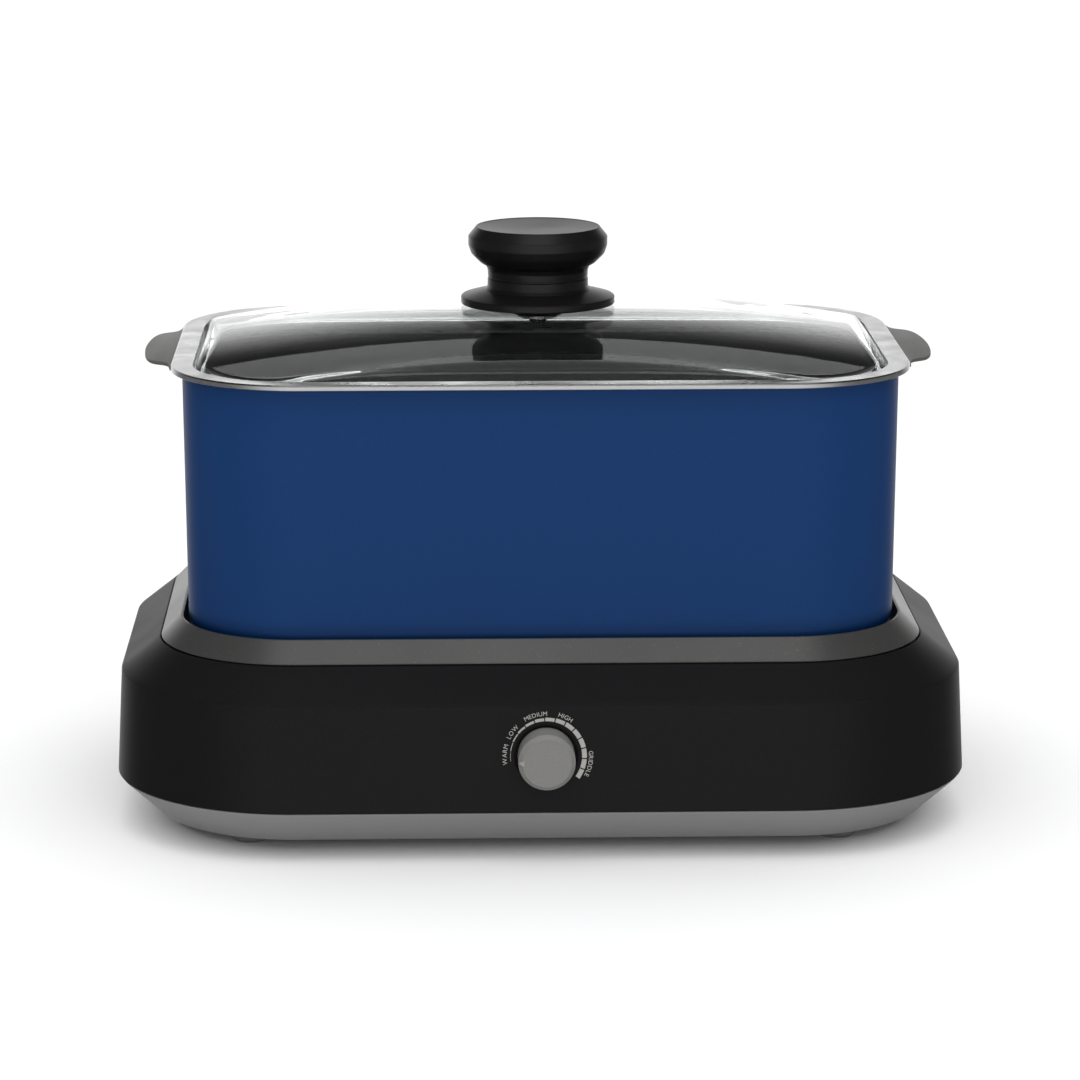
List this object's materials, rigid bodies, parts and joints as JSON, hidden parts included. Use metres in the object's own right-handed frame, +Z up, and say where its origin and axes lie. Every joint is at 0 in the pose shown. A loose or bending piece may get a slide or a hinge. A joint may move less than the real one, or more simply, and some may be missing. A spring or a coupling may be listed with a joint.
{
  "type": "slow cooker",
  "caption": "Oblong slow cooker: heating base with griddle plate and front dial, lift-off pot with side handles, drop-in glass lid with knob.",
  "frame": {"origin": "middle of the footprint, on the plane the rubber feet stand on", "axes": "+Z up, the control knob faces -Y, +X to the right seen from the front, along the longest side"},
  "size_m": [0.37, 0.2736, 0.2519],
  "materials": {
    "housing_black": "satin black moulded plastic",
    "cover_grey": "satin mid-grey moulded plastic",
    "griddle_coating": "grey-black non-stick coating on a cast plate",
    "silicone_red": "heat-resisting silicone",
    "zinc_steel": "zinc-plated steel",
    "element_steel": "heat-tinted tube",
    "ceramic": "glazed ceramic",
    "shield_steel": "bare aluminised sheet",
    "thermostat_ceramic": "ceramic thermostat case",
    "copper_tube": "drawn copper",
    "fuse_case": "plated fuse case",
    "terminal_plastic": "pale moulded terminal block",
    "wire_sleeve": "glass-fibre sleeved wire",
    "rubber_black": "black rubber",
    "rubber_grey": "grey rubber",
    "shaft_steel": "turned steel",
    "dial_grey": "satin grey moulded plastic",
    "clip_steel": "spring steel",
    "pot_enamel": "satin blue coating outside, black non-stick inside, bare rim",
    "handle_coating": "dark grey coated steel",
    "pin_aluminium": "bare aluminium",
    "clear_glass": "clear tempered glass",
    "knob_black": "satin black heat-resisting plastic",
    "brass_insert": "turned brass",
    "screw_steel": "stainless steel"
  },
  "bodies": {
    "base": {"base_housing": "housing_black", "bottom_cover": "cover_grey", "griddle_plate": "griddle_coating", "plate_gasket": "silicone_red", "plate_nuts": "zinc_steel", "heating_element": "element_steel", "element_clamps": "zinc_steel", "element_insulators": "ceramic", "heat_shield": "shield_steel", "thermostat_body": "thermostat_ceramic", "thermostat_bracket": "shield_steel", "thermostat_screws": "zinc_steel", "sensor_bulb": "copper_tube", "thermal_fuse": "fuse_case", "fuse_clip": "shield_steel", "terminal_block": "terminal_plastic", "lead_wires": "wire_sleeve", "cord_grommet": "rubber_black", "housing_screws": "zinc_steel", "rubber_feet": "rubber_grey"},
    "knob": {"thermostat_shaft": "shaft_steel", "control_knob": "dial_grey", "knob_spring_clip": "clip_steel"},
    "pot": {"pot_shell": "pot_enamel", "handle_left": "handle_coating", "handle_right": "handle_coating", "handle_pins": "pin_aluminium"},
    "lid": {"lid_glass": "clear_glass", "lid_knob": "knob_black", "lid_knob_base": "knob_black", "lid_insert": "brass_insert", "lid_gasket": "rubber_black", "lid_washer": "screw_steel", "lid_screw": "screw_steel"}
  },
  "joints": [
    {"name": "knob_turn", "type": "hinge", "parent": "base", "child": "knob", "pos_m": [0, -0.12, 0.046], "axis": [0, 1, 0], "range_deg": [0, 225]},
    {"name": "pot_lift", "type": "slide", "parent": "base", "child": "pot", "axis": [0, 0, 1], "range_m": [0, 0.13]},
    {"name": "lid_lift", "type": "slide", "parent": "pot", "child": "lid", "axis": [0, 0, 1], "range_m": [0, 0.15]}
  ]
}
